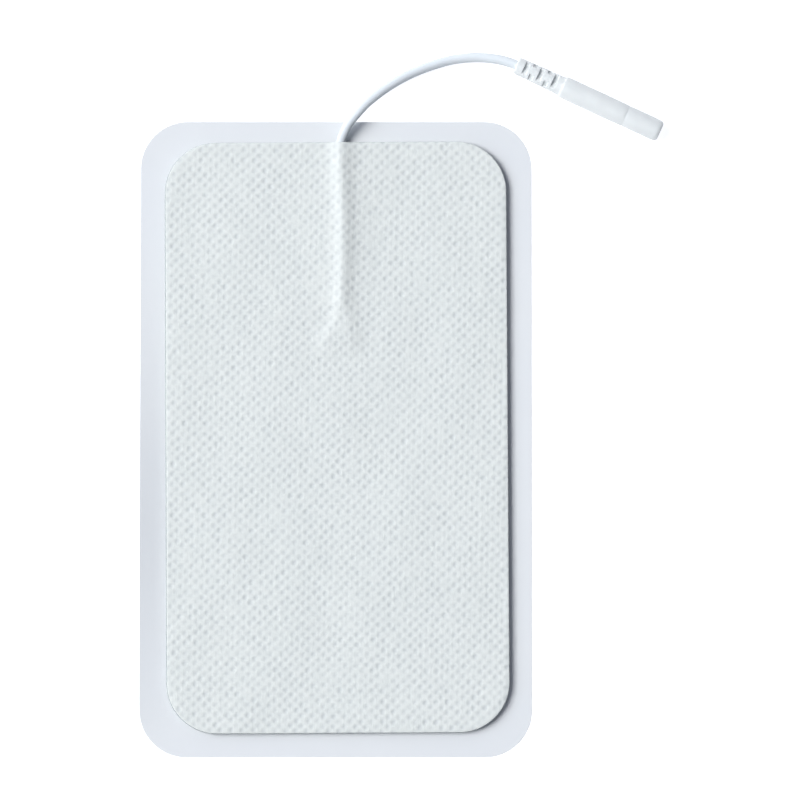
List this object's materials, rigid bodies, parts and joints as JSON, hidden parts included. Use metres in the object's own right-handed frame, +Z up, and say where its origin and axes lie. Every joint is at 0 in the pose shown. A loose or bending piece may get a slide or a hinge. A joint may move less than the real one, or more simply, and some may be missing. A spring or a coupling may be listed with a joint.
{
  "type": "tens electrode pad",
  "caption": "Flat self-adhesive skin electrode on its release liner: embossed fabric back, conductive gel below, a short lead under a ridge, and a slim pin socket.",
  "frame": {"origin": "under the middle of the release liner, on its underside", "axes": "+Z up through the layers, +Y along the pad towards the edge that the lead leaves, +X across it to the side that the lead bends to"},
  "size_m": [0.0784, 0.1056, 0.0033],
  "materials": {
    "liner_film": "thin pale film with a silicone release coat, soft gloss",
    "hydrogel": "clear, wet-looking sticky gel",
    "carbon_film": "matt black carbon-loaded film",
    "backing_fabric": "white spunbonded nonwoven, point-bonded in a fine diagonal grid",
    "conductor": "tinned copper strands",
    "lead_jacket": "soft satin white",
    "housing": "moulded white, soft gloss",
    "contact": "bright plated"
  },
  "bodies": {
    "root": {"release_liner": "liner_film", "hydrogel_layer": "hydrogel", "carbon_film": "carbon_film", "backing_fabric": "backing_fabric", "lead_strands": "conductor", "lead_wire": "lead_jacket", "connector_housing": "housing", "socket_contact": "contact"}
  },
  "joints": []
}
